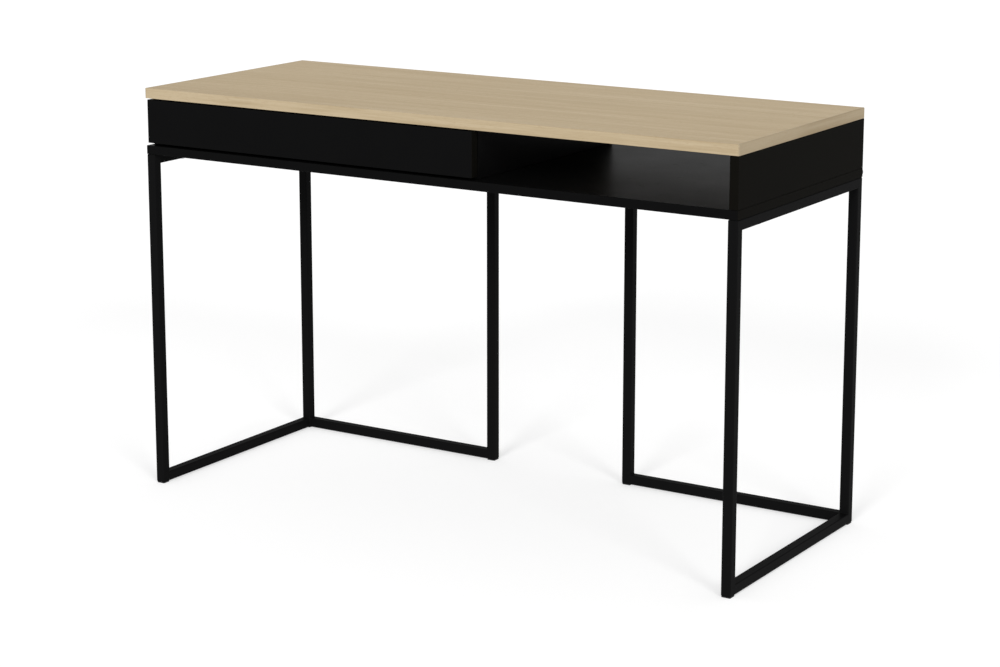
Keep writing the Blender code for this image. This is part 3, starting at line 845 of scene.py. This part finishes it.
def screw_thread(tree):
    """A triangular ridge that winds round the core."""
    given = tree.given
    core, tip = given["Core Radius"], given["Tip Length"]
    height = given["Length"] - tip * (1 + THREAD_START)
    sizes = {
        "Resolution": THREAD_STEPS,
        "Rotations": height / given["Thread Pitch"],
        "Start Radius": core,
        "End Radius": core,
        "Height": height,
    }
    helix = tree.add("GeometryNodeCurveSpiral", inputs=sizes)
    sizes = {"Resolution": 3, "Radius": given["Thread Height"]}
    ridge = tree.add("GeometryNodeCurvePrimitiveCircle", {"mode": "RADIUS"}, sizes)
    sweep = {"Curve": helix, "Profile Curve": ridge, "Fill Caps": True}
    return tree.moved(tree.add("GeometryNodeCurveToMesh", inputs=sweep), z=tip * THREAD_START)


def screw_tree():
    """Screws on points: each is aimed by its point, and stands at its own turn about its axis.

    A screw's seat, the underside of its head, is at the origin, and it points along +Z.
    """
    tree = Shape("screws", SCREW_INPUTS)
    given = tree.given
    body = tree.boolean("UNION", others=[screw_head(tree), *screw_shank(tree)])
    screw = tree.add("GeometryNodeJoinGeometry", inputs={"Geometry": [body, screw_thread(tree)]})
    kind = {"data_type": "FLOAT_VECTOR"}
    aim = tree.add("GeometryNodeInputNamedAttribute", kind, {"Name": "aim"})
    aimed = tree.add("FunctionNodeAlignRotationToVector", {"axis": "Z"}, {"Vector": aim})
    span = {2: 0.0, 3: 2 * math.pi, "Seed": given["Seed"]}
    twist = tree.add("FunctionNodeRandomValue", {"data_type": "FLOAT"}, span, output=1)
    spun = tree.add("FunctionNodeEulerToRotation", inputs={"Euler": tree.vector(z=twist)})
    turns = {"Rotation": aimed, "Rotate By": spun}
    turned = tree.add("FunctionNodeRotateRotation", {"rotation_space": "LOCAL"}, turns)
    copies = tree.on_points(given["Geometry"], screw, Rotation=turned)
    return tree.done(copies, given["Material"])


def by_tree(piece, tree, values):
    """Runs a node tree on a piece with these inputs, and keeps the plain mesh that it makes."""
    makes = piece.modifiers.new("makes", "NODES")
    makes.node_group = tree
    sockets = {item.name: item.identifier for item in tree.interface.items_tree if item.in_out == "INPUT"}
    for name, value in values.items():
        makes[sockets[name]] = value
    piece.update_tag()
    made = applied(piece).data.materials
    for index in reversed(range(len(made))):
        if made[index] is None:
            made.pop(index=index)
    return piece


def points_object(name, points, aims=()):
    """Loose points. With aims, each point also keeps the way that what stands on it is to face."""
    mesh = bpy.data.meshes.new(name)
    mesh.from_pydata([tuple(point) for point in points], [], [])
    if aims:
        aim = mesh.attributes.new("aim", "FLOAT_VECTOR", "POINT")
        for item, direction in zip(aim.data, aims):
            item.vector = direction
    return new_object(name, mesh)


THREAD_TO_CORE = 0.2  # height of the thread's ridge, in core radii
RECESS_TO_HEAD = 0.6  # depth of the recess, in head heights
INWARDS = {"left": X, "right": -X}
RUNNER_SCREW = {"Head Height": 0.0014, "Core Radius": 0.0012, "Recess Sides": 4, "Recess Radius": 0.0013}
SCREW_GROUPS = {  # the body, the screws with the way that each one points, and their sizes
    "frame_screws": (
        "desk",
        [(f"{side}_frame_{end}_screw", Z) for side in SIDES for end in (*ENDS, "inner")],
        {"Head Height": 0.0028, "Core Radius": 0.0020, "Recess Sides": 6, "Recess Radius": 0.0020},
    ),
    "divider_screws": (
        "desk",
        [(f"divider_{end}_screw", Z) for end in ENDS],
        {"Head Height": DIVIDER_HEAD, "Core Radius": 0.0020, "Recess Sides": 6, "Recess Radius": 0.0019},
    ),
    "cabinet_runner_screws": (
        "desk",
        [(f"{side}_cabinet_runner_{end}_screw", -INWARDS[side]) for side in SIDES for end in ENDS],
        RUNNER_SCREW,
    ),
    "drawer_runner_screws": (
        "drawer",
        [(f"{side}_drawer_runner_{end}_screw", INWARDS[side]) for side in SIDES for end in ENDS],
        RUNNER_SCREW,
    ),
    "drawer_front_screws": (
        "drawer",
        [(f"drawer_front_{side}_screw", -Y) for side in SIDES],
        {"Head Height": 0.0024, "Core Radius": 0.0015, "Recess Sides": 4, "Recess Radius": 0.0016},
    ),
}


def screw_seat(node, aim, head_height):
    """Where the underside of a screw's head is, and how far its shank reaches from there."""
    low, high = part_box(node)
    middle, reach = (low + high) / 2, abs((high - low).dot(aim))
    seat = middle - aim * (reach / 2 - head_height)
    return seat, reach - head_height


class DESK_OT_screws(bpy.types.Operator):
    """Makes the threaded screws of the frames, the divider, the runners and the drawer front"""

    bl_idname = "desk.make_screws"
    bl_label = "Screws"

    def execute(self, context):
        tree = screw_tree()
        for name, (body, screws, sizes) in SCREW_GROUPS.items():
            nodes, aims = zip(*screws)
            seats, lengths = zip(*(screw_seat(node, aim, sizes["Head Height"]) for node, aim in screws))
            low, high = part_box(nodes[0])
            piece = points_object(name, seats, aims)
            values = {
                **sizes,
                "Head Radius": min(high - low) / 2,
                "Length": lengths[0],
                "Thread Pitch": context.scene.desk_sizes.thread_pitch,
                "Thread Height": sizes["Core Radius"] * THREAD_TO_CORE,
                "Recess Depth": sizes["Head Height"] * RECESS_TO_HEAD,
                "Material": finish("screw_zinc"),
            }
            by_tree(piece, tree, values)
            shown_by(smooth_edges(piece), body, nodes)
        return {"FINISHED"}


# ------------------------------------------------------ ball cages, by a node tree

CAGE_INPUTS = {
    "Ball Diameter": (LENGTH, 0.0032),
    "Ball Pitch": (LENGTH, 0.0125),
    "Balls": (COUNT, 14),
    "Strip Width": (LENGTH, 0.0034),
    "Strip Thickness": (LENGTH, 0.0006),
    "Material": ("NodeSocketMaterial", None),
}
BALL_TO_TRACK = 0.49  # a ball's radius, as a share of the room that it rolls in


def cage_tree():
    """Rows of balls along +Y, each row from its own point, with the strip that keeps them apart."""
    tree = Shape("ball_cages", CAGE_INPUTS)
    given = tree.given
    pitch, balls = given["Ball Pitch"], given["Balls"]
    places = {"Count": balls, "Offset": tree.vector(y=pitch)}
    line = tree.add("GeometryNodeMeshLine", {"mode": "OFFSET"}, places)
    sizes = {"Radius": given["Ball Diameter"] * BALL_TO_TRACK, "Subdivisions": 2}
    ball = tree.add("GeometryNodeMeshIcoSphere", inputs=sizes)
    ball = tree.add("GeometryNodeSetShadeSmooth", inputs={"Geometry": ball})
    span = pitch * balls
    size = tree.vector(given["Strip Width"], span, given["Strip Thickness"])
    strip = tree.add("GeometryNodeMeshCube", inputs={"Size": size})
    strip = tree.moved(strip, y=(span - pitch) * 0.5)
    both = {"Geometry": [tree.on_points(line, ball), strip]}
    cage = tree.add("GeometryNodeJoinGeometry", inputs=both)
    return tree.done(tree.on_points(given["Geometry"], cage), given["Material"])


class DESK_OT_ball_cages(bpy.types.Operator):
    """Makes the balls and cages between the members of the telescopic runners"""

    bl_idname = "desk.make_ball_cages"
    bl_label = "Ball cages"

    def execute(self, context):
        sizes, tree = context.scene.desk_sizes, cage_tree()
        for side in SIDES:
            slide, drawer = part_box(f"{side}_intermediate_runner"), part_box(f"{side}_drawer_runner")
            half = (slide[1].y - slide[0].y) / 2
            balls = int((half - 2 * sizes.cage_end) / sizes.ball_pitch)
            middle_x = (max(slide[0].x, drawer[0].x) + min(slide[1].x, drawer[1].x)) / 2
            first_ball = slide[0].y + sizes.cage_end + sizes.ball_pitch / 2
            for name, member, start in (("outer", slide, first_ball + half), ("inner", drawer, first_ball)):
                heights = (member[1].z + sizes.ball / 2, member[0].z - sizes.ball / 2)
                rows = [(middle_x, start, height) for height in heights]
                piece = points_object(f"{side}_{name}_ball_cage", rows)
                values = {
                    "Ball Diameter": sizes.ball,
                    "Ball Pitch": sizes.ball_pitch,
                    "Balls": balls,
                    "Material": finish("ball_steel"),
                }
                shown_by(by_tree(piece, tree, values), f"{side}_intermediate", [])
        return {"FINISHED"}


# ---------------------------------------------------------------------- stage

CAMERA_PLACE = Vector((2.3418, -3.6814, 1.3743))
CAMERA_YAW = math.radians(32.36)
CAMERA_PITCH = math.radians(-11.72)
CAMERA_LENS = 88.42
CAMERA_SHIFT = -0.08
SENSOR_WIDTH = 36.0
FLOOR_RADIUS = 40.0
LIGHTS = {  # bearing from the front towards the right end, height and apparent width, in degrees
    "key": (8, 24, 17),
    "fill": (56, 24, 17),
}


class DESK_OT_stage(bpy.types.Operator):
    """Sets the pale floor, the soft light and the camera"""

    bl_idname = "desk.make_stage"
    bl_label = "Stage"

    def execute(self, context):
        scene, studio = context.scene, context.scene.desk_studio
        shape = bmesh.new()
        bmesh.ops.create_circle(shape, cap_ends=True, segments=96, radius=FLOOR_RADIUS)
        floor = new_object("floor", mesh_from(shape, "floor"), "pale_floor")
        scene.view_settings.view_transform = "Standard"
        self.light_surround(scene, studio.surround)
        for name, angles in LIGHTS.items():
            self.light(scene, name, getattr(studio, name), *(math.radians(angle) for angle in angles))
        self.set_camera(scene)
        return {"FINISHED"}

    def light_surround(self, scene, strength):
        """White behind the desk, and a dimmer white all round to light it."""
        scene.world = bpy.data.worlds.new("surround")
        scene.world.use_nodes = True
        sky = Graph(scene.world.node_tree)
        seen = sky.add("ShaderNodeLightPath", output="Is Camera Ray")
        glow = {"Color": (1, 1, 1, 1), "Strength": seen * (1.0 - strength) + strength}
        light = sky.add("ShaderNodeBackground", inputs=glow)
        sky.add("ShaderNodeOutputWorld", inputs={"Surface": light})

    def light(self, scene, name, strength, bearing, height, width):
        """A soft light, whose bearing is measured from the desk's front towards its right end."""
        lamp = bpy.data.lights.new(name, "SUN")
        lamp.energy, lamp.angle = strength, width
        holder = bpy.data.objects.new(name, lamp)
        scene.collection.objects.link(holder)
        holder.rotation_euler = Euler((math.pi / 2 - height, 0, bearing))

    def set_camera(self, scene):
        lens = bpy.data.cameras.new("camera")
        lens.lens, lens.sensor_width, lens.shift_y = CAMERA_LENS, SENSOR_WIDTH, CAMERA_SHIFT
        camera = bpy.data.objects.new("camera", lens)
        scene.collection.objects.link(camera)
        camera.location = CAMERA_PLACE
        camera.rotation_euler = Euler((math.pi / 2 + CAMERA_PITCH, 0, CAMERA_YAW))
        scene.camera = camera


# -------------------------------------------------------------------- add-on


class DESK_PT_sidebar(bpy.types.Panel):
    """Lists the desk's settings and what makes each group of pieces"""

    bl_idname = "DESK_PT_sidebar"
    bl_label = "Writing desk"
    bl_space_type = "VIEW_3D"
    bl_region_type = "UI"
    bl_category = "Desk"

    def draw(self, context):
        for operator in OPERATORS:
            self.layout.operator(operator.bl_idname)
        for group in GROUPS:
            settings = getattr(context.scene, group)
            column = self.layout.column()
            for name in settings.__annotations__:
                column.prop(settings, name)


GROUPS = {"desk_finishes": DeskFinishes, "desk_sizes": DeskSizes, "desk_studio": DeskStudio}
OPERATORS = (
    DESK_OT_worktop,
    DESK_OT_cabinet,
    DESK_OT_frames,
    DESK_OT_carried,
    DESK_OT_screws,
    DESK_OT_ball_cages,
    DESK_OT_stage,
)


def register():
    for group, kind in GROUPS.items():
        bpy.utils.register_class(kind)
        setattr(bpy.types.Scene, group, PointerProperty(type=kind))
    for operator in OPERATORS:
        bpy.utils.register_class(operator)
    bpy.utils.register_class(DESK_PT_sidebar)


def unregister():
    bpy.utils.unregister_class(DESK_PT_sidebar)
    for operator in reversed(OPERATORS):
        bpy.utils.unregister_class(operator)
    for group, kind in GROUPS.items():
        delattr(bpy.types.Scene, group)
        bpy.utils.unregister_class(kind)


def main():
    register()
    for operator in OPERATORS:
        area, action = operator.bl_idname.split(".")
        getattr(getattr(bpy.ops, area), action)()


if __name__ == "__main__":
    main()
